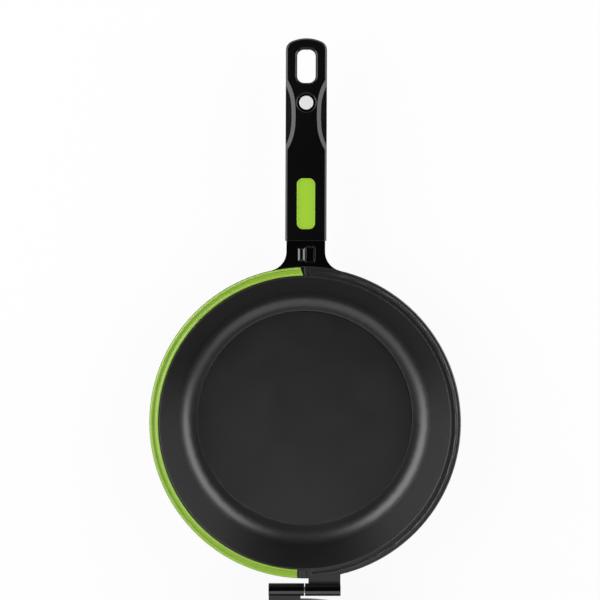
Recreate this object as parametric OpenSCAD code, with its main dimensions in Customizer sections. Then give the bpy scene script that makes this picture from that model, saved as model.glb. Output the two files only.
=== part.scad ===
// Double sided flip pan, in millimetres.
//
// Two identical cast halves share a lift-off hinge. They shut on half rings of silicone, a tongue and
// slot in each neck line them up, and magnets hold the two handle halves together.
// The pair is drawn open flat: the hinge line runs along X, handle A points to +Y, and half B is half A
// turned half a turn about Z. The origin is on the table, under the middle of the hinge.
// Shut, the two halves meet at the parting plane, which also holds the hinge line.

/* [Pan] */
// Inside diameter at the lip
inner_d = 240; // [200:1:280]
// Inside depth of one half
inside_h = 38; // [30:1:60]
// Slope of the wall, in degrees from vertical
wall_slope = 23.5; // [10:0.5:32]
// Radius of the cove between floor and wall
cove_r = 16; // [8:1:20]
// Thickness of the wall
wall_t = 3; // [2.5:0.1:4.5]
// Thickness of the floor
floor_t = 4; // [3:0.1:7]
// Depth of the fine ring turned round the edge of the floor
floor_ring_h = 0.3; // [0.1:0.05:0.6]
// Width of the fine ring turned round the edge of the floor
floor_ring_w = 1.4; // [0.8:0.1:3]

/* [Induction base] */
// Diameter of the steel disc let into the base
disc_d = 170; // [110:1:180]
// Thickness of the steel disc
disc_t = 0.8; // [0.5:0.1:1.5]
// Gap between the disc's edge and its seat
disc_fit = 0.1; // [0.05:0.05:0.3]
// Number of rings turned in the disc
disc_rings = 6; // [2:1:12]
// Width of each turned ring
disc_ring_w = 1.2; // [0.6:0.1:3]
// Depth of each turned ring
disc_ring_h = 0.3; // [0.1:0.05:0.4]

/* [Rim] */
// Width of the rim flange, lip included
rim_w = 8.8; // [8:0.1:12]
// Depth of the rim flange below the parting plane
rim_h = 6.5; // [6:0.1:10]
// Height of the sloping shoulder under the flange
rim_shoulder = 3.5; // [1:0.5:8]
// Chamfer on the flange's outer edges
rim_edge = 0.8; // [0.3:0.1:1.2]
// Gap between the two lips when the pan is shut
lip_gap = 0.3; // [0.3:0.05:0.8]
// Chamfer on the lip's inner edge
lip_edge = 0.45; // [0.2:0.05:0.55]
// Width of the lip where the bead is
lip_w = 0.9; // [0.6:0.1:1.4]
// Width of the lip where the seal is
seal_lip_w = 0.65; // [0.5:0.05:1]
// Depth of the flange face below the parting plane
flange_drop = 1.1; // [0.8:0.1:1.6]
// Distance of the bead's and the seal's middle from the lip's inner edge
bead_offset = 5; // [4.6:0.1:5.4]
// Width of the bead at its foot
bead_foot_w = 2.5; // [2:0.1:3]
// Width of the bead at its top
bead_top_w = 1.5; // [1.1:0.1:1.8]
// Height of the bead above the parting plane
bead_rise = 0.9; // [0.5:0.1:1.1]
// Radius of the bead's top edges
bead_edge_r = 0.4; // [0.2:0.05:0.5]
// Where the bead starts by the handle, from the centre line
bead_start_handle = 2.4; // [2:0.1:5]
// Where the bead starts by the hinge, from the centre line
bead_start_hinge = 5.2; // [5:0.1:8]

/* [Seal] */
// Depth of the seal's bed below the parting plane
bed_drop = 2.2; // [1.9:0.1:2.6]
// Height of the seal's lobes above the parting plane
seal_rise = 0.5; // [0.2:0.05:0.6]
// Distance of the seal's inner edge from the lip's inner edge
seal_inner_gap = 1.4; // [1.2:0.1:1.8]
// Distance of the seal's outer edge from the rim's edge
seal_outer_gap = 0.55; // [0.3:0.05:0.8]
// Radius of the seal's two lobes
lobe_r = 0.9; // [0.7:0.05:1]
// Gap between the seal and the mate's bead when the pan is shut
bead_fit = 0.35; // [0.3:0.05:0.6]
// Width of the foot that holds the seal in its groove
foot_w = 3; // [2:0.1:4]
// Depth of that foot
foot_h = 2.3; // [1.5:0.1:3]
// Gap round the foot in its groove
foot_fit = 0.1; // [0.05:0.05:0.2]
// Where the seal ends by the handle, from the centre line
seal_end_handle = 3.3; // [2.8:0.1:6]
// Slant of that end, in degrees
seal_end_slant = 19; // [0:1:30]
// Where the seal ends by the hinge, from the centre line
seal_end_hinge = 6.2; // [5:0.1:10]
// Width of the stop block left of the centre line by the handle
stop_left_handle = 1; // [0.6:0.1:1.5]
// Width of the stop block left of the centre line by the hinge
stop_left_hinge = 4.2; // [2:0.1:4.4]
// Width of the stop blocks right of the centre line
stop_right = 1.1; // [0.6:0.1:1.4]
// Depth of the stop blocks' tops below the parting plane
stop_drop = 0.35; // [0.2:0.05:0.8]
// Width of the slit beside each stop block
stop_slit = 0.7; // [0.5:0.1:0.9]

/* [Hinge] */
// Distance of the hinge line from the rim's edge
hinge_reach = 8.6; // [8:0.1:14]
// Outside diameter of a knuckle
knuckle_d = 10.3; // [9:0.1:12]
// Length of a knuckle
knuckle_l = 29.3; // [20:0.1:40]
// Gap between the two knuckles
knuckle_gap = 0.6; // [0.4:0.1:1.5]
// Distance of the lug's near edge from the centre line
lug_start = 3.2; // [1:0.1:8]
// Thickness of the lug between rim and knuckle
lug_t = 5; // [3.5:0.1:6]
// Diameter of the hinge pin
pin_d = 5; // [4:0.1:6]
// Running gap between pin and bore, on the radius
pin_fit = 0.05; // [0.02:0.01:0.09]
// How far the pin's ends lie inside the knuckles
pin_recess = 0.5; // [0.2:0.1:2]
// Height of the pin's domed ends
pin_dome = 0.8; // [0.4:0.1:1.5]

/* [Neck] */
// Distance from the rim's edge to the handle
neck_l = 21.5; // [16:0.5:40]
// Width of the neck
neck_w = 32; // [26:0.5:33]
// Depth of the neck
neck_h = 11.5; // [11.2:0.1:12.5]
// Radius of the neck's round underside
neck_under_r = 19; // [17:0.5:24]
// Depth of the neck's face below the parting plane
neck_drop = 0.5; // [0.3:0.1:1]
// Radius of the flares that run from the neck into the rim
neck_flare_r = 16; // [8:0.5:24]
// Width of the tongue at its foot
tongue_w = 5.4; // [4:0.1:6]
// Length of the tongue at its foot
tongue_l = 10.6; // [8:0.1:14]
// Height of the tongue above the neck's face
tongue_h = 1.4; // [1:0.1:2]
// Distance of the tongue and the slot from the centre line
tongue_offset = 3.6; // [3.6:0.1:5]
// Distance of the tongue's middle from the rim's edge
tongue_reach = 10.1; // [8:0.1:11]
// Gap round the tongue in the mate's slot
tongue_fit = 0.4; // [0.3:0.05:0.6]
// How much deeper the slot is than the tongue is high
slot_spare = 0.9; // [0.6:0.1:1.5]
// Radius of the slot's corners
slot_corner_r = 1; // [0.5:0.1:2]
// Chamfer round the slot
slot_edge = 1.1; // [0.5:0.1:1.2]
// Width of the tang inside the handle
tang_w = 18; // [14:0.5:20]
// Thickness of the tang
tang_t = 4.5; // [4:0.1:5]
// Length of the tang
tang_l = 46; // [40:1:60]
// Depth of the tang's top below the parting plane
tang_drop = 6.6; // [6.4:0.1:7]
// Gap round the tang in the handle
tang_fit = 0.2; // [0.1:0.05:0.4]

/* [Handle] */
// Length of the handle
handle_l = 167.4; // [150:0.2:200]
// Width of the handle
handle_w = 34.1; // [33.3:0.1:38]
// Depth of one handle half at its fullest
handle_h = 15; // [14:0.1:17]
// Radius of the handle's round underside
handle_under_r = 20; // [19:0.5:24]
// How much fuller the handle is at mid length than at its ends
handle_belly = 2; // [1:0.1:3]
// Depth of the handle's face below the parting plane
handle_drop = 0.3; // [0.25:0.05:0.8]
// Chamfer round the handle's face
handle_edge = 1.5; // [0.6:0.1:2]
// Radius of the arc across the handle's end
end_arc_r = 30; // [22:1:60]
// Radius of the corners of the handle's end
end_corner_r = 8; // [5:0.5:12]
// Radius under the handle's end
end_under_r = 9; // [5:0.5:10]

/* [Finger scallops] */
// Length of a finger scallop along the handle's edge
scallop_l = 62.2; // [54:0.2:80]
// How far a scallop reaches in from the handle's side
scallop_in = 8.2; // [5:0.1:9]
// Radius of a scallop's flat middle stretch, seen from above
scallop_flat_r = 130; // [100:5:300]
// Radius of a scallop's two ends, seen from above
scallop_end_r = 44; // [30:1:60]
// Depth of a scallop under the handle's face
scallop_h = 3; // [2:0.1:3.4]
// Width of the sloping wall of a scallop
scallop_wall_w = 3.2; // [2:0.1:4]
// Fall of the scallop's floor towards the side, in degrees
scallop_fall = 9; // [2:1:12]
// Distance of the scallops' middle from the handle's start
scallop_at = 103.8; // [90:0.2:120]

/* [Hanging slot] */
// Width of the hanging slot
hang_w = 15.2; // [10:0.1:18]
// Length of the hanging slot
hang_l = 27.6; // [20:0.1:32]
// Radius of the slot's corners
hang_r = 5.6; // [3:0.1:7]
// Distance of the slot's middle from the handle's tip
hang_from_tip = 23.1; // [20:0.1:28]
// Chamfer round the slot in the handle's face
hang_edge = 1.6; // [0.5:0.1:2.5]
// Depth of the slot's straight walls, below which they lean out to the underside
hang_waist = 3.2; // [3:0.1:6]
// Lean of the slot's walls below the waist, in degrees
hang_lean = 15; // [5:1:20]

/* [Magnet] */
// Diameter of the magnet
magnet_d = 11.4; // [8:0.1:12]
// Thickness of the magnet
magnet_t = 3; // [2:0.1:5]
// Depth of the magnet's face below the handle's face
magnet_drop = 0.2; // [0.1:0.05:0.5]
// Outside diameter of the bush that holds the magnet
bush_d = 15; // [13.4:0.1:15]
// Depth of the bush's rim below the handle's face
bush_drop = 1.1; // [0.6:0.1:1.6]
// Floor of the bush under the magnet
bush_floor = 1; // [0.6:0.1:2]
// Gap between magnet, bush and pocket
magnet_fit = 0.05; // [0.02:0.01:0.1]
// Chamfer round the magnet's pocket
magnet_edge = 0.8; // [0.5:0.1:1.3]
// Distance of the magnet's middle from the handle's tip
magnet_from_tip = 53.4; // [50:0.1:60]

/* [Badge and fixing screw] */
// Width of the badge
badge_w = 15; // [12:0.1:17]
// Length of the badge
badge_l = 41.9; // [30:0.1:48]
// Thickness of the badge
badge_t = 2; // [1.6:0.1:2.2]
// Radius of the badge's corners
badge_r = 5; // [2:0.1:6]
// Gap round the badge in its recess
badge_fit = 0.1; // [0.05:0.05:0.2]
// Height of the badge above the handle's face
badge_proud = 0.1; // [0:0.05:0.12]
// Width of the badge's raised border
badge_border = 1.1; // [0.6:0.1:2]
// Depth of the badge's bare field below its border
badge_field_h = 0.3; // [0.1:0.05:0.6]
// Distance of the badge's middle from the handle's start
badge_at = 30.5; // [28:0.1:34]
// Thread diameter of the fixing screw
screw_d = 5; // [4:0.1:6]
// Diameter of the screw's head
screw_head_d = 9; // [7:0.1:10]
// Height of the screw's head
screw_head_h = 1.9; // [1.4:0.1:2]
// Width across the socket in the screw's head
screw_socket = 3; // [2:0.1:3.5]
// Depth of that socket
screw_socket_h = 1.1; // [0.6:0.1:1.2]
// Thickness of the lock washer
washer_t = 0.8; // [0.5:0.1:0.9]
// Gap round the screw and its washer
screw_fit = 0.2; // [0.1:0.05:0.3]

/* [Hidden] */
$fn = 180;

// Cutters run past the faces they open by this much
over = 1;
// The torus under the handle is wide, so it needs fine steps
wide_arc_fn = 1440;

plane_z = inside_h + floor_t;
pan_r = inner_d / 2;
rim_r = pan_r + rim_w;
outer_lip_r = pan_r + wall_t / cos(wall_slope);
bead_r = pan_r + bead_offset;
pan_y = rim_r + hinge_reach;
rim_y = pan_y + rim_r;
handle_y = rim_y + neck_l;
tip_y = handle_y + handle_l;
handle_face_z = plane_z - handle_drop;

// Height of a sloping wall's round corner, and the radius at which the floor inside it ends
function corner_h(corner_r) = corner_r * (1 - sin(wall_slope));
function floor_end_r(lip_r, depth, corner_r) =
    lip_r - (depth - corner_h(corner_r)) * tan(wall_slope) - corner_r * cos(wall_slope);
floor_r = floor_end_r(pan_r, inside_h, cove_r);

// Half B is half A turned half a turn about the hinge's middle
module half_b() rotate([0, 0, 180]) children();

// Moves to the pan's middle, at the height of the parting plane
module at_pan() translate([0, pan_y, plane_z]) children();

// A slab with round corners, cut into the XY plane and standing on it
module rounded_slab(size, r, h) {
    linear_extrude(h) {
        square([size.x - 2 * r, size.y], center = true);
        square([size.x, size.y - 2 * r], center = true);
        for (x = [-1, 1], y = [-1, 1])
            translate([x * (size.x / 2 - r), y * (size.y / 2 - r)]) circle(r);
    }
}

// The same slab with its walls leaning out by that much over its height
module flared_slab(size, r, h, out) {
    for (x = [-1, 1], y = [-1, 1])
        translate([x * (size.x / 2 - r), y * (size.y / 2 - r)]) cylinder(r1 = r, r2 = r + out, h = h);
    rotate([90, 0, 0]) linear_extrude(size.y - 2 * r, center = true) flare_section(size.x / 2, h, out);
    rotate([90, 0, 90]) linear_extrude(size.x - 2 * r, center = true) flare_section(size.y / 2, h, out);
}

module flare_section(half, h, out) {
    polygon([[-half, 0], [half, 0], [half + out, h], [-half - out, h]]);
}

// A round post of height h whose top edge has a chamfer
module chamfered_post(r, h, edge) {
    cylinder(r = r, h = h - edge);
    translate([0, 0, h - edge]) cylinder(r1 = r, r2 = r - edge, h = edge);
}

// A block standing on the XY plane whose four sides lean in at 45 degrees
module bevelled_block(size, h) {
    intersection() {
        rotate([90, 0, 0])
            linear_extrude(size.y, center = true)
                polygon([[-size.x / 2, 0], [size.x / 2, 0], [size.x / 2 - h, h], [h - size.x / 2, h]]);
        rotate([90, 0, 90])
            linear_extrude(size.x, center = true)
                polygon([[-size.y / 2, 0], [size.y / 2, 0], [size.y / 2 - h, h], [h - size.y / 2, h]]);
    }
}

// ---- Pan shell -------------------------------------------------------------------------------------

// Section of a bowl filled to the axis, its wall sloping out through [lip_r, 0] above a round corner
module bowl_section(lip_r, depth, corner_r) {
    end_r = floor_end_r(lip_r, depth, corner_r);
    polygon([
        [0, -depth],
        [end_r, -depth],
        [end_r + corner_r * cos(wall_slope), corner_h(corner_r) - depth],
        [lip_r + over * tan(wall_slope), over],
        [0, over],
    ]);
    translate([end_r, corner_r - depth]) circle(corner_r);
}

// Outside of the casting, filled: the bowl below, then the shoulder, the flange and the lip
module shell_outer_section() {
    shoulder_z = -rim_h - rim_shoulder;
    shoulder_r = outer_lip_r - wall_t / 2 + shoulder_z * tan(wall_slope);
    intersection() {
        bowl_section(outer_lip_r, plane_z, cove_r + wall_t);
        translate([0, -plane_z]) square([rim_r, plane_z - rim_h]);
    }
    polygon([
        [0, shoulder_z],
        [shoulder_r, shoulder_z],
        [rim_r - rim_edge, -rim_h],
        [rim_r, -rim_h + rim_edge],
        [rim_r, -flange_drop - rim_edge],
        [rim_r - rim_edge, -flange_drop],
        [pan_r + lip_w, -flange_drop],
        [pan_r + lip_w, -lip_gap / 2],
        [0, -lip_gap / 2],
    ]);
}

// Inside of the casting: all that the food space takes, with the lip's chamfer and the floor's fine ring
module food_space() {
    lip_foot = lip_gap / 2 + lip_edge;
    lip_foot_r = pan_r - lip_foot * tan(wall_slope);
    rotate_extrude() bowl_section(pan_r, inside_h, cove_r);
    rotate_extrude()
        polygon([[0, -lip_foot], [lip_foot_r, -lip_foot], [lip_foot_r + lip_foot + over, over], [0, over]]);
    translate([0, 0, -inside_h])
        rotate_extrude()
            translate([floor_r, 0])
                polygon([
                    [-floor_ring_w, 0],
                    [-floor_ring_w / 2, -floor_ring_h],
                    [0, 0],
                    [0, over],
                    [-floor_ring_w, over],
                ]);
}

// Section of the bead, about its own middle line, with its foot sunk in the flange
module bead_section() {
    foot = bead_foot_w / 2;
    top = bead_top_w / 2;
    polygon([
        [-foot, -flange_drop],
        [-foot, -flange_drop - over],
        [foot, -flange_drop - over],
        [foot, -flange_drop],
        [top, bead_rise - bead_edge_r],
        [top - bead_edge_r, bead_rise],
        [bead_edge_r - top, bead_rise],
        [-top, bead_rise - bead_edge_r],
    ]);
    for (side = [-1, 1])
        translate([side * (top - bead_edge_r), bead_rise - bead_edge_r]) circle(bead_edge_r);
}

// Bead on the right half of the rim, with a round end near the handle and another near the hinge
module bead() {
    end_x = [bead_start_hinge + bead_foot_w / 2, bead_start_handle + bead_foot_w / 2];
    end_angle = [-acos(end_x[0] / bead_r), acos(end_x[1] / bead_r)];
    rotate([0, 0, end_angle[0]])
        rotate_extrude(angle = end_angle[1] - end_angle[0])
            translate([bead_r, 0]) bead_section();
    for (a = end_angle)
        rotate([0, 0, a])
            translate([bead_r, 0])
                rotate_extrude()
                    intersection() {
                        bead_section();
                        translate([0, -rim_h]) square([rim_w, 2 * rim_h]);
                    }
}

// Plan of the left half of the rim, up to the stop blocks, for the seal's bed
module bed_plan() {
    polygon([
        [-rim_r - over, -rim_r - over],
        [-stop_left_hinge, -rim_r - over],
        [-stop_left_hinge, 0],
        [-stop_left_handle, 0],
        [-stop_left_handle, rim_r + over],
        [-rim_r - over, rim_r + over],
    ]);
}

// Plan of the part of the rim that the seal itself covers, its end by the handle slanted
module seal_plan() {
    reach = rim_r + over;
    slant_at = function(y) -seal_end_handle - (y - bead_r) * tan(seal_end_slant);
    polygon([
        [-reach, -reach],
        [-seal_end_hinge, -reach],
        [-seal_end_hinge, 0],
        [slant_at(pan_r), pan_r],
        [slant_at(reach), reach],
        [-reach, reach],
    ]);
}

// Everything that the seal needs cut from the rim: its bed, the groove for its foot and two slits
module seal_bed() {
    intersection() {
        rotate_extrude()
            translate([pan_r + seal_lip_w, -bed_drop])
                square([rim_w - seal_lip_w + foot_fit, bed_drop + over]);
        translate([0, 0, -bed_drop - over]) linear_extrude(bed_drop + 3 * over) bed_plan();
    }
    intersection() {
        rotate_extrude()
            translate([bead_r - foot_w / 2 - foot_fit, -bed_drop - foot_h - foot_fit])
                square([foot_w + 2 * foot_fit, foot_h + foot_fit + over]);
        translate([0, 0, -rim_h]) linear_extrude(rim_h) seal_plan();
    }
    intersection() {
        rotate_extrude()
            translate([pan_r + lip_w, -bed_drop]) square([rim_w - lip_w + foot_fit, bed_drop + over]);
        translate([stop_right, -rim_r - over, -bed_drop - over])
            cube([stop_slit, 2 * (rim_r + over), bed_drop + 3 * over]);
    }
}

// Blocks between the seal's ends and the bead's ends, a little below the parting plane
module stop_blocks() {
    for (end = [[-1, stop_left_hinge], [1, stop_left_handle]])
        intersection() {
            rotate_extrude()
                translate([pan_r + seal_inner_gap, -rim_h + rim_edge])
                    square([rim_w - seal_inner_gap - seal_outer_gap, rim_h - rim_edge - stop_drop]);
            translate([-end[1], end[0] > 0 ? 0 : -rim_r, -rim_h]) cube([end[1] + stop_right, rim_r, rim_h]);
        }
}

// Plan of the flares that carry the neck into the rim on both sides, about the pan's middle
module flare_plan() {
    flare_x = neck_w / 2 + neck_flare_r;
    flare = [flare_x, sqrt(pow(rim_r + neck_flare_r, 2) - pow(flare_x, 2))];
    touch = flare * rim_r / (rim_r + neck_flare_r);
    for (side = [0, 1])
        mirror([side, 0])
            difference() {
                polygon([[0, pan_r], [0, flare.y], [neck_w / 2, flare.y], touch, [touch.x, pan_r]]);
                translate(flare) circle(neck_flare_r);
            }
}

// Neck: a bar with a round underside from the wall to the handle, and flares beside it, under one flat face
module neck() {
    difference() {
        union() {
            translate([0, pan_r + neck_l + rim_w, 0])
                rotate([90, 0, 0])
                    linear_extrude(neck_l + rim_w + wall_t)
                        intersection() {
                            translate([-neck_w / 2, -neck_drop - neck_h]) square([neck_w, neck_h + over]);
                            translate([0, neck_under_r - neck_drop - neck_h]) circle(neck_under_r);
                        }
            translate([0, 0, -rim_h + rim_edge]) linear_extrude(rim_h - rim_edge) flare_plan();
        }
        translate([-rim_r, 0, -neck_drop]) cube([2 * rim_r, 2 * rim_r, 2 * over]);
        translate([0, 0, -flange_drop]) cylinder(r = rim_r, h = flange_drop + over);
    }
}

// Tang that the handle slides over, from the neck's end
module tang() {
    translate([-tang_w / 2, rim_r + neck_l - over, -tang_drop - tang_t])
        cube([tang_w, tang_l + over, tang_t]);
}

// Tongue left of the centre line, and the slot right of it that takes the mate's tongue
module tongue() {
    translate([-tongue_offset, rim_r + tongue_reach, -neck_drop])
        bevelled_block([tongue_w, tongue_l], tongue_h);
}

module tongue_slot() {
    depth = tongue_h - 2 * neck_drop + slot_spare;
    size = [tongue_w + 2 * tongue_fit, tongue_l + 2 * tongue_fit];
    translate([tongue_offset, rim_r + tongue_reach, -neck_drop]) {
        translate([0, 0, -depth]) rounded_slab(size, slot_corner_r, depth + over);
        translate([0, 0, -slot_edge]) flared_slab(size, slot_corner_r, slot_edge + over, slot_edge + over);
    }
}

// Lug and knuckle of this half's side of the hinge, about the pan's middle
module hinge_lug() {
    knuckle_start = knuckle_gap / 2;
    translate([lug_start, -rim_r - hinge_reach, -flange_drop - lug_t])
        cube([knuckle_start + knuckle_l - lug_start, hinge_reach + rim_w, lug_t]);
    translate([knuckle_start, -rim_r - hinge_reach, 0])
        rotate([0, 90, 0]) cylinder(d = knuckle_d, h = knuckle_l);
}

module pan_shell() {
    color([0.16, 0.16, 0.17])
        at_pan()
            difference() {
                union() {
                    difference() {
                        union() {
                            rotate_extrude() shell_outer_section();
                            neck();
                            hinge_lug();
                        }
                        seal_bed();
                    }
                    stop_blocks();
                    bead();
                    tongue();
                    tang();
                }
                food_space();
                tongue_slot();
                translate([-over, -rim_r - hinge_reach, 0])
                    rotate([0, 90, 0])
                        cylinder(d = pin_d + 2 * pin_fit, h = knuckle_l + knuckle_gap + 2 * over);
                translate([0, 0, -plane_z - over]) cylinder(d = disc_d + 2 * disc_fit, h = disc_t + over);
                translate([0, handle_y + badge_at - pan_y, -tang_drop - tang_t - over])
                    cylinder(d = screw_d + 2 * pin_fit, h = tang_t + 2 * over);
            }
}

// ---- Pieces of the pan -----------------------------------------------------------------------------

// Steel disc in the base, with turned rings
module base_disc() {
    ring_pitch = disc_d / 2 / (disc_rings + 0.5);
    color([0.72, 0.72, 0.73])
        translate([0, pan_y, 0])
            rotate_extrude()
                difference() {
                    square([disc_d / 2, disc_t]);
                    for (i = [1:disc_rings])
                        translate([i * ring_pitch - disc_ring_w / 2, -over])
                            square([disc_ring_w, disc_ring_h + over]);
                }
}

// Section of the seal about the bead's middle line: two lobes, the valley between them, and the foot
module seal_section() {
    inner = seal_inner_gap - bead_offset;
    outer = rim_w - seal_outer_gap - bead_offset;
    lobe_z = seal_rise - lobe_r;
    valley_z = -bead_rise - bead_fit;
    foot_flank = (bead_foot_w - bead_top_w) / 2 / (bead_rise + flange_drop);
    valley_half = function(z) bead_top_w / 2 + bead_fit + (z - valley_z) * foot_flank;
    difference() {
        union() {
            translate([inner, -bed_drop]) square([outer - inner, bed_drop + lobe_z]);
            for (x = [inner + lobe_r, outer - lobe_r]) translate([x, lobe_z]) circle(lobe_r);
        }
        polygon([
            [-valley_half(valley_z), valley_z],
            [valley_half(valley_z), valley_z],
            [valley_half(over), over],
            [-valley_half(over), over],
        ]);
    }
    translate([-foot_w / 2, -bed_drop - foot_h]) square([foot_w, foot_h + lobe_r / 2]);
}

// Silicone seal on the left half of the rim
module rim_seal() {
    color([0.55, 0.78, 0.16])
        at_pan()
            intersection() {
                rotate_extrude() translate([bead_r, 0]) seal_section();
                translate([0, 0, -rim_h]) linear_extrude(2 * rim_h) seal_plan();
            }
}

// ---- Handle ----------------------------------------------------------------------------------------

// Section across the handle: a flat face with chamfers and straight sides, below the handle's face
module handle_face_section() {
    polygon([
        [-handle_w / 2, -handle_h],
        [handle_w / 2, -handle_h],
        [handle_w / 2, -handle_edge],
        [handle_w / 2 - handle_edge, 0],
        [handle_edge - handle_w / 2, 0],
        [-handle_w / 2, -handle_edge],
    ]);
}

// Plan of the handle with its arched end, chamfered at the face, from y = 0 at the neck
module handle_plan_body() {
    arc_y = handle_l - end_arc_r;
    corner_x = handle_w / 2 - end_corner_r;
    corner_y = arc_y + sqrt(pow(end_arc_r - end_corner_r, 2) - pow(corner_x, 2));
    wedge = 2 * [corner_x, corner_y - arc_y];
    translate([0, 0, -handle_h]) {
        translate([-handle_w / 2, 0, 0]) cube([handle_w, corner_y, handle_h]);
        for (x = [-corner_x, corner_x])
            translate([x, corner_y, 0]) chamfered_post(end_corner_r, handle_h, handle_edge);
        intersection() {
            translate([0, arc_y, 0]) chamfered_post(end_arc_r, handle_h, handle_edge);
            translate([0, arc_y, 0]) linear_extrude(handle_h) polygon([[0, 0], wedge, [-wedge.x, wedge.y]]);
        }
    }
}

// The rounded underside: part of a wide torus, fullest at mid length
module handle_belly_body() {
    half_l = handle_l / 2;
    belly_r = (pow(half_l, 2) + pow(handle_belly, 2)) / (2 * handle_belly);
    sweep = 2 * asin((half_l + end_arc_r) / belly_r);
    translate([0, half_l, handle_under_r - handle_h + belly_r])
        rotate([0, 90, 0])
            rotate([0, 0, -sweep / 2])
                rotate_extrude(angle = sweep, $fn = wide_arc_fn)
                    translate([belly_r, 0]) circle(handle_under_r, $fn = 180);
}

// Side view of the handle: a block with a round corner under its tip
module handle_side_body() {
    rotate([90, 0, 90])
        linear_extrude(handle_w, center = true) {
            translate([0, -handle_h]) square([handle_l - end_under_r, handle_h]);
            translate([0, end_under_r - handle_h]) square([handle_l, handle_h - end_under_r]);
            translate([handle_l - end_under_r, end_under_r - handle_h]) circle(end_under_r);
        }
}

// Section of a finger scallop, about its edge in the face: the wall leans, and the floor falls away from it
module scallop_section() {
    reach = handle_w / 2;
    polygon([
        [-reach, -scallop_h - (reach - scallop_wall_w) * tan(scallop_fall)],
        [-scallop_wall_w, -scallop_h],
        [0, 0],
        [over * scallop_wall_w / scallop_h, over],
        [-reach, over],
    ]);
}

// Part of a scallop whose edge is an arc about the origin, from one angle to another
module scallop_arc(arc_r, from, to) {
    rotate([0, 0, from])
        rotate_extrude(angle = to - from, $fn = wide_arc_fn) translate([arc_r, 0]) scallop_section();
}

// One finger scallop: a flat arc along the handle that runs into a tighter arc at each end
module scallop(side) {
    end_out = scallop_flat_r - scallop_end_r;
    side_out = scallop_flat_r - scallop_in;
    tip_out = norm([side_out, scallop_l / 2]);
    turn = atan2(scallop_l / 2, side_out)
        - acos((pow(tip_out, 2) + pow(end_out, 2) - pow(scallop_end_r, 2)) / (2 * tip_out * end_out));
    past_side = 60;
    translate([side * (handle_w / 2 + side_out), scallop_at, 0])
        rotate([0, 0, side > 0 ? 180 : 0]) {
            scallop_arc(scallop_flat_r, -turn, turn);
            rotate([0, 0, turn]) translate([end_out, 0, 0]) scallop_arc(scallop_end_r, 0, past_side);
            rotate([0, 0, -turn]) translate([end_out, 0, 0]) scallop_arc(scallop_end_r, -past_side, 0);
        }
}

// Cutter for the hanging slot, flared at the handle's face, and leaning out to the underside below its waist
module hanging_slot() {
    size = [hang_w, hang_l];
    flare_h = hang_edge + over;
    under_h = handle_h - hang_waist + over;
    translate([0, handle_l - hang_from_tip, 0]) {
        translate([0, 0, -hang_waist - over]) rounded_slab(size, hang_r, hang_waist + 2 * over);
        translate([0, 0, -hang_edge]) flared_slab(size, hang_r, flare_h, flare_h);
        translate([0, 0, -hang_waist])
            rotate([180, 0, 0]) flared_slab(size, hang_r, under_h, under_h * tan(hang_lean));
    }
}

// Pocket for the magnet's bush, flared at the handle's face
module magnet_pocket() {
    depth = magnet_drop + magnet_t + bush_floor;
    r = bush_d / 2 + magnet_fit;
    translate([0, handle_l - magnet_from_tip, 0]) {
        translate([0, 0, -depth]) cylinder(r = r, h = depth + over);
        translate([0, 0, -magnet_edge]) cylinder(r1 = r, r2 = r + magnet_edge + over, h = magnet_edge + over);
    }
}

// Recess for the badge, with the counterbore and the hole of the fixing screw under it
module badge_recess() {
    size = [badge_w + 2 * badge_fit, badge_l + 2 * badge_fit];
    depth = badge_t - badge_proud;
    seat = depth + washer_t + screw_head_h;
    translate([0, badge_at, 0]) {
        translate([0, 0, -depth]) rounded_slab(size, badge_r + badge_fit, depth + over);
        translate([0, 0, -seat]) cylinder(d = screw_head_d + 2 * screw_fit, h = seat);
        translate([0, 0, -tang_drop]) cylinder(d = screw_d + 2 * screw_fit, h = tang_drop);
    }
}

// Room in the handle for the tang
module tang_room() {
    top = handle_drop - tang_drop + tang_fit;
    h = tang_t + 2 * tang_fit;
    translate([-tang_w / 2 - tang_fit, -over, top - h])
        cube([tang_w + 2 * tang_fit, tang_l + tang_fit + over, h]);
}

// Moves to the handle's start, at the height of its face
module at_handle() translate([0, handle_y, handle_face_z]) children();

module handle() {
    color([0.05, 0.05, 0.055])
        at_handle()
            difference() {
                intersection() {
                    handle_plan_body();
                    rotate([90, 0, 0])
                        translate([0, 0, -handle_l]) linear_extrude(handle_l) handle_face_section();
                    handle_side_body();
                    handle_belly_body();
                }
                scallop(-1);
                scallop(1);
                hanging_slot();
                magnet_pocket();
                badge_recess();
                tang_room();
            }
}

// Badge in the handle's face: a raised border round a bare field
module handle_badge() {
    field = [badge_w - 2 * badge_border, badge_l - 2 * badge_border];
    color([0.60, 0.80, 0.24])
        at_handle()
            translate([0, badge_at, badge_proud - badge_t])
                difference() {
                    rounded_slab([badge_w, badge_l], badge_r, badge_t);
                    translate([0, 0, badge_t - badge_field_h])
                        rounded_slab(field, badge_r - badge_border, over);
                }
}

// Fixing screw under the badge, into the tang
module handle_screw() {
    head_top = badge_proud - badge_t;
    thread_end = handle_drop - tang_drop - tang_t;
    color([0.70, 0.70, 0.72])
        at_handle()
            translate([0, badge_at, 0])
                difference() {
                    union() {
                        translate([0, 0, head_top - screw_head_h])
                            cylinder(d = screw_head_d, h = screw_head_h);
                        translate([0, 0, thread_end]) cylinder(d = screw_d, h = head_top - thread_end);
                    }
                    translate([0, 0, head_top - screw_socket_h])
                        cylinder(d = screw_socket / cos(30), h = screw_socket_h + over, $fn = 6);
                }
}

// Lock washer between the screw's head and the handle
module screw_washer() {
    seat = badge_proud - badge_t - screw_head_h - washer_t;
    color([0.62, 0.62, 0.64])
        at_handle()
            translate([0, badge_at, seat])
                difference() {
                    cylinder(d = screw_head_d, h = washer_t);
                    translate([0, 0, -over]) cylinder(d = screw_d + 2 * screw_fit, h = washer_t + 2 * over);
                }
}

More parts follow.
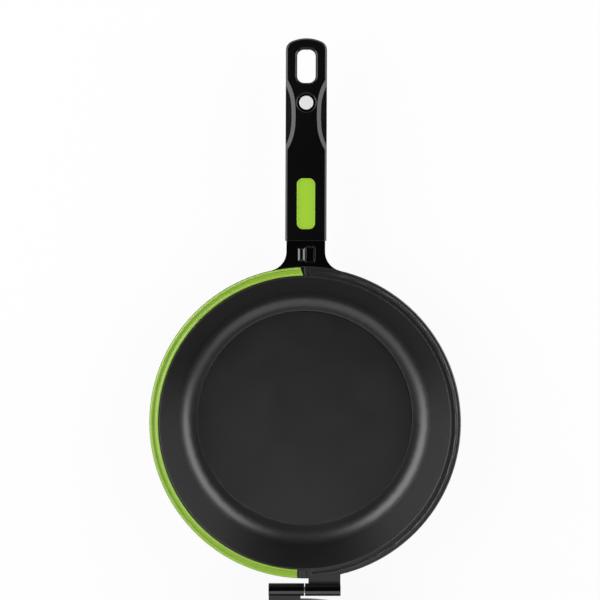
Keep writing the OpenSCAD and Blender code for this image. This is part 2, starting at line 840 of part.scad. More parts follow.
// Magnet that holds the two handle halves together, with its edge broken
module magnet() {
    edge = magnet_t / 10;
    color([0.86, 0.86, 0.86])
        at_handle()
            translate([0, handle_l - magnet_from_tip, -magnet_drop - magnet_t])
                chamfered_post(magnet_d / 2, magnet_t, edge);
}

// Bush that holds the magnet in the handle
module magnet_bush() {
    bottom = -magnet_drop - magnet_t - bush_floor;
    color([0.03, 0.03, 0.03])
        at_handle()
            translate([0, handle_l - magnet_from_tip, bottom])
                difference() {
                    cylinder(d = bush_d, h = -bush_drop - bottom);
                    translate([0, 0, bush_floor]) cylinder(d = magnet_d + 2 * magnet_fit, h = magnet_t + over);
                }
}

// ---- Hinge pin -------------------------------------------------------------------------------------

// Section of the pin: a straight shank with a shallow dome on each end
module pin_section(half_l) {
    r = pin_d / 2;
    dome_r = (pow(r, 2) + pow(pin_dome, 2)) / (2 * pin_dome);
    translate([0, pin_dome - half_l]) square([r, 2 * (half_l - pin_dome)]);
    for (side = [-1, 1])
        intersection() {
            translate([0, side * (half_l - dome_r)]) circle(dome_r);
            translate([0, side > 0 ? half_l - pin_dome : -half_l]) square([r, pin_dome]);
        }
}

module hinge_pin() {
    color([0.70, 0.70, 0.72])
        translate([0, 0, plane_z])
            rotate([0, 90, 0]) rotate_extrude() pin_section(knuckle_gap / 2 + knuckle_l - pin_recess);
}

// ---- Nodes -----------------------------------------------------------------------------------------

module pan_shell_a() pan_shell();
module base_disc_a() base_disc();
module rim_seal_a() rim_seal();
module handle_a() handle();
module handle_badge_a() handle_badge();
module handle_screw_a() handle_screw();
module screw_washer_a() screw_washer();
module magnet_a() magnet();
module magnet_bush_a() magnet_bush();

module pan_shell_b() half_b() pan_shell();
module base_disc_b() half_b() base_disc();
module rim_seal_b() half_b() rim_seal();
module handle_b() half_b() handle();
module handle_badge_b() half_b() handle_badge();
module handle_screw_b() half_b() handle_screw();
module screw_washer_b() half_b() screw_washer();
module magnet_b() half_b() magnet();
module magnet_bush_b() half_b() magnet_bush();

pan_shell_a();
base_disc_a();
rim_seal_a();
handle_a();
handle_badge_a();
handle_screw_a();
screw_washer_a();
magnet_a();
magnet_bush_a();
pan_shell_b();
base_disc_b();
rim_seal_b();
handle_b();
handle_badge_b();
handle_screw_b();
screw_washer_b();
magnet_b();
magnet_bush_b();
hinge_pin();
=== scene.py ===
"""Finishes, studio and camera for a double sided flip pan.

The pan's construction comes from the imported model. This script gives each of its pieces a finish and a
broken edge, and sets the studio. Sizes here are in metres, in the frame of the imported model.
"""

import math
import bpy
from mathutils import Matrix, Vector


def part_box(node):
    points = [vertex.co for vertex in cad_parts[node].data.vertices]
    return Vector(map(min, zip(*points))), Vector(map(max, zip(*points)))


bl_info = {
    "name": "Flip Pan Finishes",
    "version": (1, 0, 0),
    "blender": (4, 5, 0),
    "location": "3D View > Sidebar > Flip Pan",
    "description": "Dresses the pieces of a double sided flip pan and sets its studio",
    "category": "Object",
}

import bmesh
import bpy
from bpy.props import FloatProperty, FloatVectorProperty, IntProperty, PointerProperty
from mathutils import Matrix, Vector

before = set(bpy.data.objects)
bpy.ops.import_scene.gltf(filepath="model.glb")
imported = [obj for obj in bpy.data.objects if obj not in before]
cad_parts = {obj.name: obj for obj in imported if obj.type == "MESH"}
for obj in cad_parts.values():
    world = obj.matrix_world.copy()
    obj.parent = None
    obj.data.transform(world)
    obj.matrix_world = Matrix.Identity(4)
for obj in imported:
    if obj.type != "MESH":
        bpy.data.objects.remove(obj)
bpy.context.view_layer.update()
MM = 0.001

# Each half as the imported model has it: its letter, and half B turned half a turn about Z
HALVES = {"a": 1, "b": -1}


def half_centre(letter):
    """Middle of the base disc of one half, on the table."""
    low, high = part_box(f"base_disc_{letter}")
    return Vector(((low.x + high.x) / 2, (low.y + high.y) / 2, 0))


RIM_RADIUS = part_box("pan_shell_a")[1].x
PLANE_Z = (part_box("hinge_pin")[0].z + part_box("hinge_pin")[1].z) / 2
KNUCKLE_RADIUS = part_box("pan_shell_a")[1].z - PLANE_Z
FASTENERS = ("handle_screw_a", "handle_screw_b", "screw_washer_a", "screw_washer_b", "hinge_pin")

# Where the non-stick coat ends: the least upward lean of a coated face, how deep the coat reaches under the
# parting plane on the rim, how far it stops short of the rim's edge there and reaches past it elsewhere,
# where the lug starts, and how far the coat laps onto the knuckle
COAT_LEAN = 0.1
COAT_RIM_DEPTH = 3 * MM
COAT_RIM_INSET = 0.9 * MM
COAT_RIM_REACH = 0.1 * MM
COAT_LUG_START = 0.8 * RIM_RADIUS
COAT_KNUCKLE_LAP = 0.3 * MM

# Size, depth and contrast of the grain of the moulded and plated finishes
GRAINS = {
    "silicone": (1.2 * MM, 0.01 * MM, 0.06),
    "resin": (0.9 * MM, 0.012 * MM, 0.1),
    "badge": (1.0 * MM, 0.01 * MM, 0.05),
    "bush": (0.6 * MM, 0.004 * MM, 0.1),
    "fastener": (0.5 * MM, 0.003 * MM, 0.08),
}
# Size of the unevenly wiped patches, and how far they change the roughness
WIPED_MOULDED = {"Size": 35 * MM, "Strength": 0.04}
WIPED_FASTENER = {"Size": 35 * MM, "Strength": 0.1}
WIPED_TURNED = {"Size": 50 * MM, "Strength": 0.08}
WIPED_COAT = {"Size": 50 * MM, "Strength": 0.05}
TURNING_CONTRAST = 0.12
BASE_ANISOTROPY = 0.6
MAGNET_TURNING = {"pitch": 0.3 * MM, "depth": 0.004 * MM}
# Size of the patches in which edges get more or less of their lighter tone, which is partly edge wear and
# partly a painted highlight
WEAR_AND_HIGHLIGHT_PATCH = 9 * MM
# Cosine of the turn at which an edge gets the full lighter tone of wear and painted highlight
EDGE_TURN = 0.75

# Light that goes into the silicone and comes out beside
SILICONE_DEPTH = {
    "Subsurface Weight": 0.12,
    "Subsurface Radius": (1.0, 1.0, 0.3),
    "Subsurface Scale": 0.8 * MM,
}

# Edges that turn further than this stay sharp. The seals' lobes have thin folded faces, so theirs is higher.
SHARP_FROM = math.radians(30)
SEAL_SHARP_FROM = math.radians(80)
WELD_DISTANCE = 0.001 * MM

# Soft boxes: azimuth (0 is +X, 90 is +Y) and elevation in degrees, distance, width and height
SOFT_BOXES = {
    "right": (20, 21, 1.3, 1.8, 1.4),
    "left": (162, 23, 1.3, 1.9, 1.5),
    "near": (-93, 45, 1.4, 2.4, 1.3),
}
LAMP_AIM = Vector((0, 0.14, 0.02))
# Glow of the dark room at the horizon, and the height of a view upwards, 1 being straight up, where it ends
ROOM_GLOW = 0.15
ROOM_DARK_FROM = 0.7
TABLE_TONE = (0.85, 0.85, 0.85, 1)
TABLE_GAP = 0.05 * MM
TABLE_SIDES = 96
WHITE = (1, 1, 1, 1)


# ---- Sizes and colours ---------------------------------------------------------------------------------


def colour_property(name, description, default):
    return FloatVectorProperty(
        name=name, description=description, default=default, subtype="COLOR", size=3, min=0, max=1
    )


def length_property(name, description, default, high=1.0):
    return FloatProperty(
        name=name,
        description=description,
        default=default,
        min=0,
        max=high,
        subtype="DISTANCE",
        unit="LENGTH",
    )


def share_property(name, description, default):
    return FloatProperty(name=name, description=description, default=default, min=0, max=1, subtype="FACTOR")


def number_property(name, description, default):
    return FloatProperty(name=name, description=description, default=default, min=0)


class FlipPanFinish(bpy.types.PropertyGroup):
    """Colours and textures of the pan's finishes."""

    nonstick: colour_property("Non-stick coat", "Coat inside the bowl and on the rim", (0.006, 0.006, 0.0064))
    nonstick_roughness: share_property("Non-stick roughness", "Roughness of the coat inside", 0.38)
    speckle: share_property("Speckle", "How much the coat's fine specks stand out", 0.35)
    speck_size: length_property("Speck size", "Size of the specks in the non-stick coat", 0.7 * MM)
    speck_depth: length_property("Speck depth", "Height of the specks in the non-stick coat", 0.012 * MM)
    gloss_black: colour_property(
        "Outside coat", "Gloss black coat of the outside, neck and knuckle", (0.002, 0.002, 0.0021)
    )
    gloss_roughness: share_property("Outside roughness", "Roughness of the gloss coat", 0.1)
    steel: colour_property("Base steel", "Steel disc in the base", (0.42, 0.42, 0.43))
    steel_roughness: share_property("Base roughness", "Roughness of the steel disc", 0.42)
    turning_pitch: length_property("Turning pitch", "Distance between the base's turning marks", 0.5 * MM)
    turning_depth: length_property("Turning depth", "Depth of the base's turning marks", 0.01 * MM)
    silicone: colour_property("Silicone", "Rim seal", (0.295, 0.50, 0.030))
    silicone_roughness: share_property("Silicone roughness", "Roughness of the rim seal", 0.42)
    resin: colour_property("Handle resin", "Black moulded handle", (0.001, 0.001, 0.0011))
    resin_roughness: share_property("Resin roughness", "Roughness of the handle", 0.27)
    badge: colour_property("Badge", "Green badge in the handle", (0.335, 0.595, 0.033))
    badge_roughness: share_property("Badge roughness", "Roughness of the badge", 0.4)
    nickel: colour_property("Magnet", "Nickel plating of the magnet", (0.95, 0.95, 0.94))
    nickel_roughness: share_property("Magnet roughness", "Roughness of the magnet's face", 0.66)
    fastener: colour_property("Fasteners", "Screws, washers and hinge pin", (0.58, 0.58, 0.59))
    fastener_roughness: share_property("Fastener roughness", "Roughness of screws, washers and pin", 0.32)
    bush: colour_property("Bush", "Black bush round the magnet", (0.002, 0.002, 0.002))
    bush_roughness: share_property("Bush roughness", "Roughness of the bush", 0.18)
    edge_radius: length_property("Edge radius", "Radius that breaks the edges of the pieces", 0.35 * MM)
    # Lighter tone on the edges of the black coats and the handle: partly edge wear, partly a painted
    # highlight for the light the edges catch
    edge_wear_and_highlight: colour_property(
        "Worn edges", "Tone of the rubbed edges of the black coats and the handle", (0.07, 0.07, 0.072)
    )
    wear_and_highlight: share_property("Edge wear", "How much the edges of the black coats and the handle are rubbed", 0.7)


class FlipPanStage(bpy.types.PropertyGroup):
    """Camera, backdrop and lamps."""

    image_size: IntProperty(
        name="Image size", description="Width and height of the photograph", default=600, min=1
    )
    centre_px_x: number_property("Pan centre X", "Pixel column of the middle of the lip", 305.15)
    centre_px_y: number_property("Pan centre Y", "Pixel row of the middle of the lip", 422.9)
    pixel_size: length_property("Pixel size", "Size of a pixel at the height of the rim", 0.8247 * MM)
    camera_height: length_property("Camera height", "Height of the camera over the rim", 0.902, high=10)
    camera_roll: FloatProperty(
        name="Camera roll",
        description="Turn of the camera about its view",
        default=math.radians(0.21),
        subtype="ANGLE",
    )
    left_level: number_property("Left lamp", "Brightness of the left lamp's face", 3.25)
    right_level: number_property("Right lamp", "Brightness of the right lamp's face", 2.95)
    near_level: number_property("Near lamp", "Brightness of the face of the lamp by the hinge", 0.95)
    floor_radius: length_property("Table radius", "Radius of the table under the pan", 1.3, high=10)
    shadow: share_property("Shadow", "How much of the pan's shadow the floor shows", 0.08)


# ---- Shader nodes --------------------------------------------------------------------------------------


def add_node(tree, kind, inputs=None, **settings):
    """Makes a node of that kind; inputs gives sockets by name or number, as values or as sockets to link."""
    made = tree.nodes.new(kind)
    for name, value in settings.items():
        setattr(made, name, value)
    for name, value in (inputs or {}).items():
        if isinstance(value, bpy.types.NodeSocket):
            tree.links.new(value, made.inputs[name])
        else:
            made.inputs[name].default_value = value
    return made


def maths(tree, operation, first, second, clamp=False):
    made = add_node(tree, "ShaderNodeMath", {0: first, 1: second}, operation=operation, use_clamp=clamp)
    return made.outputs[0]


def vector_maths(tree, operation, first, second=(0.0, 0.0, 0.0)):
    """Outputs of a vector node: Vector, and Value for a length or a dot product."""
    return add_node(tree, "ShaderNodeVectorMath", {0: first, 1: second}, operation=operation).outputs


def level_length(tree, offset):
    """Length of an offset, leaving out its height."""
    level = vector_maths(tree, "MULTIPLY", offset, (1.0, 1.0, 0.0))["Vector"]
    return vector_maths(tree, "LENGTH", level)["Value"]


def about_one(tree, noise, contrast):
    """A tone about 1 from a noise of 0 to 1."""
    swing = maths(tree, "MULTIPLY", maths(tree, "SUBTRACT", noise, 0.5), contrast)
    return maths(tree, "ADD", maths(tree, "MULTIPLY", swing, 2.0), 1.0)


def mix_colour(tree, factor, first, second, blend="MIX"):
    made = add_node(tree, "ShaderNodeMix", {"Factor": factor}, data_type="RGBA", blend_type=blend)
    for socket, value in ((made.inputs[6], first), (made.inputs[7], second)):
        if isinstance(value, bpy.types.NodeSocket):
            tree.links.new(value, socket)
        else:
            socket.default_value = (*value, 1) if len(value) == 3 else value
    return made.outputs[2]


def map_range(tree, value, from_low, from_high, to_low=0.0, to_high=1.0):
    made = add_node(
        tree,
        "ShaderNodeMapRange",
        {"Value": value, "From Min": from_low, "From Max": from_high, "To Min": to_low, "To Max": to_high},
    )
    return made.outputs["Result"]


def new_group(name, inputs, outputs):
    """A shader node group; inputs are {name: default}, outputs {name: kind}. Returns it with its two ends."""
    group = bpy.data.node_groups.new(name, "ShaderNodeTree")
    for socket_name, default in inputs.items():
        kind = "NodeSocketVector" if isinstance(default, tuple) else "NodeSocketFloat"
        socket = group.interface.new_socket(name=socket_name, in_out="INPUT", socket_type=kind)
        socket.default_value = default
    for socket_name, kind in outputs.items():
        group.interface.new_socket(name=socket_name, in_out="OUTPUT", socket_type=f"NodeSocket{kind}")
    start = group.nodes.new("NodeGroupInput")
    end = group.nodes.new("NodeGroupOutput")
    return group, start.outputs, end.inputs


def use_group(tree, name, **values):
    made = add_node(tree, "ShaderNodeGroup", node_tree=bpy.data.node_groups[name])
    for socket_name, value in values.items():
        socket = made.inputs[socket_name.replace("_", " ")]
        if isinstance(value, bpy.types.NodeSocket):
            tree.links.new(value, socket)
        else:
            socket.default_value = value
    return made.outputs


def grain_group():
    """Fine grain of a moulded or sprayed surface: a tone about 1, and a height from 0 to 1."""
    group, given, out = new_group(
        "Fine grain", {"Size": 0.001, "Contrast": 0.2}, {"Tone": "Float", "Height": "Float"}
    )
    place = add_node(group, "ShaderNodeTexCoord").outputs["Object"]
    scale = maths(group, "DIVIDE", 1.0, given["Size"])
    noise = add_node(
        group, "ShaderNodeTexNoise", {"Vector": place, "Scale": scale, "Detail": 3.0, "Roughness": 0.6}
    ).outputs["Fac"]
    group.links.new(about_one(group, noise, given["Contrast"]), out["Tone"])
    group.links.new(noise, out["Height"])


def smudge_group():
    """Broad, soft unevenness of gloss, as wiping and hands leave it: a value about 0 to add to roughness."""
    group, given, out = new_group(
        "Wiped unevenness", {"Size": 0.04, "Strength": 0.05}, {"Roughness": "Float"}
    )
    place = add_node(group, "ShaderNodeTexCoord").outputs["Object"]
    scale = maths(group, "DIVIDE", 1.0, given["Size"])
    noise = add_node(
        group,
        "ShaderNodeTexNoise",
        {"Vector": place, "Scale": scale, "Detail": 2.0, "Roughness": 0.5, "Distortion": 0.6},
    ).outputs["Fac"]
    swing = maths(group, "MULTIPLY", maths(group, "SUBTRACT", noise, 0.5), given["Strength"])
    group.links.new(maths(group, "MULTIPLY", swing, 2.0), out["Roughness"])


def turning_group():
    """Rings left by turning about a vertical axis: a height from 0 to 1, and a tone about 1."""
    group, given, out = new_group(
        "Turning marks",
        {"Centre": (0.0, 0.0, 0.0), "Pitch": 0.0005, "Contrast": 0.1},
        {"Tone": "Float", "Height": "Float"},
    )
    place = add_node(group, "ShaderNodeTexCoord").outputs["Object"]
    offset = vector_maths(group, "SUBTRACT", place, given["Centre"])["Vector"]
    turns = maths(group, "DIVIDE", level_length(group, offset), given["Pitch"])
    ripple = add_node(
        group, "ShaderNodeTexNoise", {"W": turns, "Scale": 1.0, "Detail": 2.0}, noise_dimensions="1D"
    ).outputs["Fac"]
    group.links.new(about_one(group, ripple, given["Contrast"]), out["Tone"])
    group.links.new(ripple, out["Height"])


def edge_group():
    """Softly broken edges: a normal that turns over each edge, and a mask that is 1 on the edge itself."""
    group, given, out = new_group("Broken edges", {"Radius": 0.0003}, {"Edge": "Float", "Normal": "Vector"})
    turned = add_node(group, "ShaderNodeBevel", {"Radius": given["Radius"]}, samples=6).outputs["Normal"]
    plain = add_node(group, "ShaderNodeNewGeometry").outputs["Normal"]
    along = vector_maths(group, "DOT_PRODUCT", turned, plain)["Value"]
    group.links.new(map_range(group, along, 1.0, EDGE_TURN), out["Edge"])
    group.links.new(turned, out["Normal"])


def build_groups():
    for build in (grain_group, smudge_group, turning_group, edge_group):
        build()


# ---- Finishes ------------------------------------------------------------------------------------------


def new_material(name):
    """An empty material, its tree and its Principled BSDF."""
    material = bpy.data.materials.new(name)
    material.use_nodes = True
    return material, material.node_tree, material.node_tree.nodes["Principled BSDF"]


def set_constants(material, values):
    """Sets constants on the sockets of the material's own shader."""
    shader = material.node_tree.nodes["Principled BSDF"]
    for name, value in values.items():
        shader.inputs[name].default_value = value


def tinted(tree, colour, tone):
    """A colour times a tone about 1."""
    return mix_colour(tree, 1.0, colour, tone, blend="MULTIPLY")


def set_bump(tree, shader, height, depth, edges):
    """Bump of that depth, in metres, from a height of 0 to 1, over the normal of the broken edges."""
    bump = add_node(
        tree,
        "ShaderNodeBump",
        {"Height": height, "Strength": 1.0, "Distance": depth, "Normal": edges["Normal"]},
    )
    tree.links.new(bump.outputs["Normal"], shader.inputs["Normal"])


def rubbed_and_highlit(tree, colour, edges, finish):
    """A colour that turns to a lighter tone on the edges, more in some places than in others: partly edge
    wear, partly a painted highlight.
    """
    patches = use_group(tree, "Fine grain", Size=WEAR_AND_HIGHLIGHT_PATCH, Contrast=1.0)["Tone"]
    amount = maths(tree, "MULTIPLY", maths(tree, "MULTIPLY", edges["Edge"], finish.wear_and_highlight), patches, clamp=True)
    return mix_colour(tree, amount, colour, tuple(finish.edge_wear_and_highlight))


def moulded_material(name, finish, kind, wipe=WIPED_MOULDED, edge_wear_and_highlight=False):
    """A moulded or plated finish of one colour, with fine grain, unevenly wiped gloss and broken edges.

    kind names its colour, roughness and grain, and edge_wear_and_highlight lightens its edges, partly as wear
    and partly as a painted highlight.
    """
    material, tree, shader = new_material(name)
    size, depth, contrast = GRAINS[kind]
    edges = use_group(tree, "Broken edges", Radius=finish.edge_radius)
    grain = use_group(tree, "Fine grain", Size=size, Contrast=contrast)
    wiped = use_group(tree, "Wiped unevenness", **wipe)
    colour = tinted(tree, tuple(getattr(finish, kind)), grain["Tone"])
    # Lighter edges: partly wear, partly a painted highlight
    if edge_wear_and_highlight:
        colour = rubbed_and_highlit(tree, colour, edges, finish)
    roughness = maths(tree, "ADD", wiped["Roughness"], getattr(finish, f"{kind}_roughness"))
    tree.links.new(colour, shader.inputs["Base Color"])
    tree.links.new(roughness, shader.inputs["Roughness"])
    set_bump(tree, shader, grain["Height"], depth, edges)
    return material


def turned_material(name, finish, kind, centre, pitch, depth):
    """A turned metal finish, its marks round a vertical axis through centre, with broken edges."""
    material, tree, shader = new_material(name)
    edges = use_group(tree, "Broken edges", Radius=finish.edge_radius)
    marks = use_group(
        tree, "Turning marks", Centre=tuple(centre), Pitch=pitch, Contrast=TURNING_CONTRAST
    )
    wiped = use_group(tree, "Wiped unevenness", **WIPED_TURNED)
    colour = tinted(tree, tuple(getattr(finish, kind)), marks["Tone"])
    roughness = maths(tree, "ADD", wiped["Roughness"], getattr(finish, f"{kind}_roughness"))
    tree.links.new(colour, shader.inputs["Base Color"])
    tree.links.new(roughness, shader.inputs["Roughness"])
    set_constants(material, {"Metallic": 1.0})
    set_bump(tree, shader, marks["Height"], depth, edges)
    return material


def coat_material(name, finish, centre, turn):
    """Coats of one half: non-stick inside, on the rim and on the lug, and gloss black everywhere else.

    turn is 1 for half A and -1 for half B, which lies turned half a turn about Z.
    """
    material, tree, shader = new_material(name)
    coordinates = add_node(tree, "ShaderNodeTexCoord").outputs
    middle = (centre.x, centre.y, PLANE_Z)
    offset = vector_maths(tree, "SUBTRACT", coordinates["Object"], middle)["Vector"]
    place = add_node(tree, "ShaderNodeSeparateXYZ", {0: offset}).outputs
    radius = level_length(tree, offset)
    up = add_node(tree, "ShaderNodeSeparateXYZ", {0: coordinates["Normal"]}).outputs["Z"]

    faces_up = maths(tree, "GREATER_THAN", up, COAT_LEAN)
    near_plane = maths(tree, "GREATER_THAN", place["Z"], -COAT_RIM_DEPTH)
    off_edge = maths(tree, "LESS_THAN", radius, RIM_RADIUS - COAT_RIM_INSET)
    on_rim = maths(tree, "MULTIPLY", near_plane, off_edge)
    in_pan = maths(tree, "LESS_THAN", radius, RIM_RADIUS + COAT_RIM_REACH)
    inside = maths(tree, "MULTIPLY", in_pan, maths(tree, "MAXIMUM", faces_up, on_rim))
    toward_hinge = maths(tree, "MULTIPLY", place["Y"], -turn)
    past_rim = maths(tree, "GREATER_THAN", toward_hinge, COAT_LUG_START)
    knuckle_start = abs(centre.y) - KNUCKLE_RADIUS + COAT_KNUCKLE_LAP
    before_knuckle = maths(tree, "LESS_THAN", toward_hinge, knuckle_start)
    lug = maths(tree, "MULTIPLY", maths(tree, "MULTIPLY", past_rim, before_knuckle), faces_up)
    coated = maths(tree, "MAXIMUM", inside, lug)

    specks = use_group(tree, "Fine grain", Size=finish.speck_size, Contrast=finish.speckle)
    wiped = use_group(tree, "Wiped unevenness", **WIPED_COAT)
    edges = use_group(tree, "Broken edges", Radius=finish.edge_radius)
    colour = mix_colour(tree, coated, tuple(finish.gloss_black), tuple(finish.nonstick))
    coat = tinted(tree, colour, specks["Tone"])
    # The coats' edges get a lighter tone: partly edge wear, partly a painted highlight
    tree.links.new(rubbed_and_highlit(tree, coat, edges, finish), shader.inputs["Base Color"])
    roughness = map_range(tree, coated, 0, 1, finish.gloss_roughness, finish.nonstick_roughness)
    tree.links.new(maths(tree, "ADD", wiped["Roughness"], roughness), shader.inputs["Roughness"])
    set_bump(tree, shader, maths(tree, "MULTIPLY", specks["Height"], coated), finish.speck_depth, edges)
    set_constants(material, {"Specular IOR Level": 1.0})
    return material


def dress(node_name, material, sharp_from=SHARP_FROM):
    """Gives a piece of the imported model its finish, and shades it smooth over edges up to an angle."""
    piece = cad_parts[node_name]
    piece.data.materials.clear()
    piece.data.materials.append(material)
    drop_stored_normals(piece)
    weld = piece.modifiers.new("Weld faces", "WELD")
    weld.merge_threshold = WELD_DISTANCE
    smooth = piece.modifiers.new("Smooth faces", "NODES")
    smooth.node_group = smoothing_group()
    angle_input = smooth.node_group.interface.items_tree["Sharp from"]
    smooth[angle_input.identifier] = sharp_from
    level = piece.modifiers.new("Keep broad faces level", "WEIGHTED_NORMAL")
    level.mode = "FACE_AREA"
    level.keep_sharp = True


def drop_stored_normals(piece):
    """Lets the piece's shading follow its own faces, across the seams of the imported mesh."""
    stored = piece.data.attributes.get("custom_normal")
    if stored:
        piece.data.attributes.remove(stored)


def smoothing_group():
    """Geometry nodes that shade faces smooth, and keep edges over an angle sharp."""
    name = "Smooth by edge angle"
    if name in bpy.data.node_groups:
        return bpy.data.node_groups[name]
    group = bpy.data.node_groups.new(name, "GeometryNodeTree")
    group.interface.new_socket(name="Geometry", in_out="OUTPUT", socket_type="NodeSocketGeometry")
    group.interface.new_socket(name="Geometry", in_out="INPUT", socket_type="NodeSocketGeometry")
    group.interface.new_socket(name="Sharp from", in_out="INPUT", socket_type="NodeSocketFloat")
    start = group.nodes.new("NodeGroupInput")
    end = group.nodes.new("NodeGroupOutput")
    faces = group.nodes.new("GeometryNodeSetShadeSmooth")
    edges = group.nodes.new("GeometryNodeSetShadeSmooth")
    edges.domain = "EDGE"
    angle = group.nodes.new("GeometryNodeInputMeshEdgeAngle")
    under = group.nodes.new("FunctionNodeCompare")
    under.data_type = "FLOAT"
    under.operation = "LESS_EQUAL"
    group.links.new(start.outputs[0], faces.inputs["Geometry"])
    group.links.new(faces.outputs[0], edges.inputs["Geometry"])
    group.links.new(angle.outputs["Unsigned Angle"], under.inputs["A"])
    group.links.new(start.outputs["Sharp from"], under.inputs["B"])
    group.links.new(under.outputs[0], edges.inputs["Shade Smooth"])
    group.links.new(edges.outputs[0], end.inputs[0])
    return group


# ---- Operators -----------------------------------------------------------------------------------------


class FLIPPAN_OT_shells(bpy.types.Operator):
    """Coats the two cast shells"""

    bl_idname = "flippan.shells"
    bl_label = "Coat Shells"

    def execute(self, context):
        finish = context.scene.flippan_finish
        for letter, turn in HALVES.items():
            material = coat_material(f"Pan coats {letter}", finish, half_centre(letter), turn)
            dress(f"pan_shell_{letter}", material)
        return {"FINISHED"}


class FLIPPAN_OT_bases(bpy.types.Operator):
    """Finishes the steel discs in the bases"""

    bl_idname = "flippan.bases"
    bl_label = "Finish Base Discs"

    def execute(self, context):
        finish = context.scene.flippan_finish
        for letter in HALVES:
            material = turned_material(
                f"Turned steel {letter}",
                finish,
                "steel",
                half_centre(letter),
                finish.turning_pitch,
                finish.turning_depth,
            )
            set_constants(material, {"Anisotropic": BASE_ANISOTROPY})
            dress(f"base_disc_{letter}", material)
        return {"FINISHED"}


class FLIPPAN_OT_seals(bpy.types.Operator):
    """Gives the rim seals their silicone"""

    bl_idname = "flippan.seals"
    bl_label = "Finish Rim Seals"

    def execute(self, context):
        material = moulded_material("Silicone", context.scene.flippan_finish, "silicone")
        set_constants(material, {"Specular IOR Level": 1.0, **SILICONE_DEPTH})
        for letter in HALVES:
            dress(f"rim_seal_{letter}", material, SEAL_SHARP_FROM)
        return {"FINISHED"}


class FLIPPAN_OT_handles(bpy.types.Operator):
    """Gives the handles their moulded resin"""

    bl_idname = "flippan.handles"
    bl_label = "Finish Handles"

    def execute(self, context):
        # The handle's edges get a lighter tone: partly edge wear, partly a painted highlight
        material = moulded_material("Moulded resin", context.scene.flippan_finish, "resin", edge_wear_and_highlight=True)
        set_constants(material, {"Specular IOR Level": 0.6})
        for letter in HALVES:
            dress(f"handle_{letter}", material)
        return {"FINISHED"}


class FLIPPAN_OT_badges(bpy.types.Operator):
    """Gives the bare badges their green"""

    bl_idname = "flippan.badges"
    bl_label = "Finish Badges"

    def execute(self, context):
        material = moulded_material("Green badge", context.scene.flippan_finish, "badge")
        for letter in HALVES:
            dress(f"handle_badge_{letter}", material)
        return {"FINISHED"}


class FLIPPAN_OT_magnets(bpy.types.Operator):
    """Finishes the magnets and their bushes"""

    bl_idname = "flippan.magnets"
    bl_label = "Finish Magnets"

    def execute(self, context):
        finish = context.scene.flippan_finish
        bush = moulded_material("Black bush", finish, "bush")
        for letter in HALVES:
            low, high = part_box(f"magnet_{letter}")
            nickel = turned_material(
                f"Nickel plate {letter}", finish, "nickel", (low + high) / 2, **MAGNET_TURNING
            )
            dress(f"magnet_{letter}", nickel)
            dress(f"magnet_bush_{letter}", bush)
        return {"FINISHED"}


class FLIPPAN_OT_fasteners(bpy.types.Operator):
    """Finishes the screws, washers and hinge pin"""

    bl_idname = "flippan.fasteners"
    bl_label = "Finish Fasteners"

    def execute(self, context):
        finish = context.scene.flippan_finish
        material = moulded_material("Zinc plated steel", finish, "fastener", WIPED_FASTENER)
        set_constants(material, {"Metallic": 1.0})
        for node_name in FASTENERS:
            dress(node_name, material)
        return {"FINISHED"}


class FLIPPAN_OT_stage(bpy.types.Operator):
    """Sets the floor, the backdrop, the lamps and the camera"""

    bl_idname = "flippan.stage"
    bl_label = "Set Stage"

    def execute(self, context):
        stage = context.scene.flippan_stage
        context.scene.view_settings.view_transform = "Standard"
        make_floor(stage)
        make_world(context.scene)
        make_lamps(stage)
        make_camera(context.scene, stage)
        return {"FINISHED"}


# ---- Stage ---------------------------------------------------------------------------------------------


def make_floor(stage):
    """A round white table under the pan, which shows some of the pan's shadow and is clear from below."""
    mesh = bpy.data.meshes.new("floor")
    outline = bmesh.new()
    bmesh.ops.create_circle(outline, cap_ends=True, segments=TABLE_SIDES, radius=stage.floor_radius)
    outline.to_mesh(mesh)
    outline.free()
    floor = bpy.data.objects.new("floor", mesh)
    bpy.context.scene.collection.objects.link(floor)
    floor.location.z = -TABLE_GAP
    material = bpy.data.materials.new("White table")
    material.use_nodes = True
    tree = material.node_tree
    tree.nodes.remove(tree.nodes["Principled BSDF"])
    rays = add_node(tree, "ShaderNodeLightPath").outputs
    reflected = maths(tree, "MAXIMUM", rays["Is Glossy Ray"], rays["Is Transmission Ray"])
    seen = maths(tree, "MAXIMUM", rays["Is Camera Ray"], reflected)
    factor = maths(tree, "MULTIPLY", seen, 1.0 - stage.shadow)
    lit = add_node(tree, "ShaderNodeBsdfDiffuse", {"Color": TABLE_TONE}).outputs[0]
    white = add_node(tree, "ShaderNodeEmission", {"Color": WHITE, "Strength": 1.0}).outputs[0]
    top = add_node(tree, "ShaderNodeMixShader", {0: factor, 1: lit, 2: white}).outputs[0]
    clear = add_node(tree, "ShaderNodeBsdfTransparent").outputs[0]
    below = add_node(tree, "ShaderNodeNewGeometry").outputs["Backfacing"]
    mixed = add_node(tree, "ShaderNodeMixShader", {0: below, 1: top, 2: clear}).outputs[0]
    tree.links.new(mixed, tree.nodes["Material Output"].inputs["Surface"])
    mesh.materials.append(material)


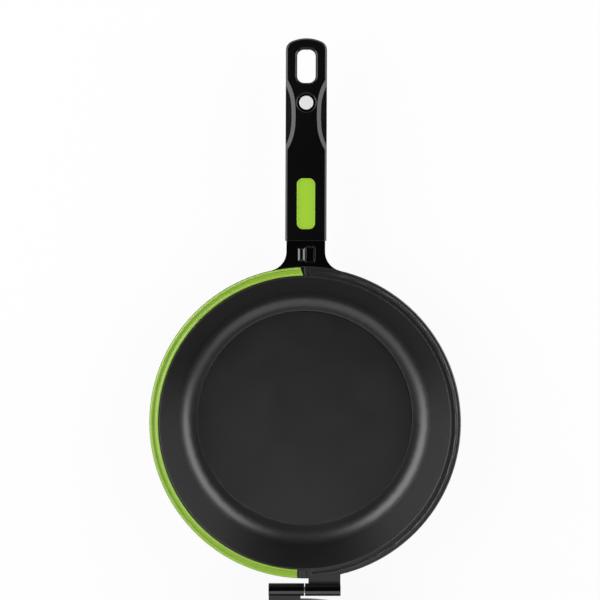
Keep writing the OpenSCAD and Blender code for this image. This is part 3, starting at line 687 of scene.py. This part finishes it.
def make_world(scene):
    """A dark studio whose camera rays see white."""
    world = bpy.data.worlds.new("Studio")
    world.use_nodes = True
    scene.world = world
    tree = world.node_tree
    tree.nodes.remove(tree.nodes["Background"])
    rays = add_node(tree, "ShaderNodeLightPath").outputs
    direction = add_node(tree, "ShaderNodeTexCoord").outputs["Generated"]
    height = add_node(tree, "ShaderNodeSeparateXYZ", {0: direction}).outputs["Z"]
    level = map_range(tree, height, 0.0, ROOM_DARK_FROM, ROOM_GLOW, 0.0)
    room = add_node(tree, "ShaderNodeBackground", {"Color": WHITE, "Strength": level}).outputs[0]
    white = add_node(tree, "ShaderNodeBackground", {"Color": WHITE, "Strength": 1.0}).outputs[0]
    seen = maths(tree, "MAXIMUM", rays["Is Camera Ray"], rays["Is Transmission Ray"])
    mixed = add_node(tree, "ShaderNodeMixShader", {0: seen, 1: room, 2: white}).outputs[0]
    tree.links.new(mixed, tree.nodes["World Output"].inputs["Surface"])


def make_lamps(stage):
    """Large soft boxes on both sides, and a weaker one by the hinge.

    A lamp's level is the brightness of its face, on the scale where 1 is the white of the picture.
    """
    for name, (azimuth, elevation, distance, width, height) in SOFT_BOXES.items():
        lamp = bpy.data.lights.new(f"{name} lamp", "AREA")
        lamp.shape = "RECTANGLE"
        lamp.size = width
        lamp.size_y = height
        lamp.energy = getattr(stage, f"{name}_level") * math.pi * width * height
        made = bpy.data.objects.new(f"{name} lamp", lamp)
        bpy.context.scene.collection.objects.link(made)
        a, e = math.radians(azimuth), math.radians(elevation)
        toward = Vector((math.cos(a) * math.cos(e), math.sin(a) * math.cos(e), math.sin(e)))
        made.location = LAMP_AIM + toward * distance
        made.rotation_euler = toward.to_track_quat("Z", "Y").to_euler()


def make_camera(scene, stage):
    """A camera straight over the pan, framed as the photograph is."""
    half_image = stage.image_size / 2
    roll = Matrix.Rotation(stage.camera_roll, 3, "Z")
    from_middle = Vector((stage.centre_px_x - half_image, half_image - stage.centre_px_y, 0))
    axis = half_centre("a") - roll @ (from_middle * stage.pixel_size)
    data = bpy.data.cameras.new("camera")
    data.sensor_width = 36
    data.lens = data.sensor_width * stage.camera_height / (stage.image_size * stage.pixel_size)
    data.clip_start = 0.01
    camera = bpy.data.objects.new("camera", data)
    scene.collection.objects.link(camera)
    camera.location = (axis.x, axis.y, PLANE_Z + stage.camera_height)
    camera.rotation_euler = (0, 0, stage.camera_roll)
    scene.camera = camera


# ---- Panel and registration ----------------------------------------------------------------------------

PIECE_OPERATORS = (
    FLIPPAN_OT_shells,
    FLIPPAN_OT_bases,
    FLIPPAN_OT_seals,
    FLIPPAN_OT_handles,
    FLIPPAN_OT_badges,
    FLIPPAN_OT_magnets,
    FLIPPAN_OT_fasteners,
)


class FLIPPAN_PT_panel(bpy.types.Panel):
    """Lists the pan's sizes, colours and steps"""

    bl_label = "Flip Pan"
    bl_idname = "FLIPPAN_PT_panel"
    bl_space_type = "VIEW_3D"
    bl_region_type = "UI"
    bl_category = "Flip Pan"

    def draw(self, context):
        for group in (context.scene.flippan_finish, context.scene.flippan_stage):
            box = self.layout.box()
            for name in group.__annotations__:
                box.prop(group, name)
        for operator in (*PIECE_OPERATORS, FLIPPAN_OT_stage):
            self.layout.operator(operator.bl_idname)


CLASSES = (FlipPanFinish, FlipPanStage, *PIECE_OPERATORS, FLIPPAN_OT_stage, FLIPPAN_PT_panel)


def register():
    for cls in CLASSES:
        bpy.utils.register_class(cls)
    bpy.types.Scene.flippan_finish = PointerProperty(type=FlipPanFinish)
    bpy.types.Scene.flippan_stage = PointerProperty(type=FlipPanStage)


def unregister():
    del bpy.types.Scene.flippan_stage
    del bpy.types.Scene.flippan_finish
    for cls in reversed(CLASSES):
        bpy.utils.unregister_class(cls)


def main():
    register()
    build_groups()
    bpy.ops.flippan.shells()
    bpy.ops.flippan.bases()
    bpy.ops.flippan.seals()
    bpy.ops.flippan.handles()
    bpy.ops.flippan.badges()
    bpy.ops.flippan.magnets()
    bpy.ops.flippan.fasteners()
    bpy.ops.flippan.stage()


if __name__ == "__main__":
    main()
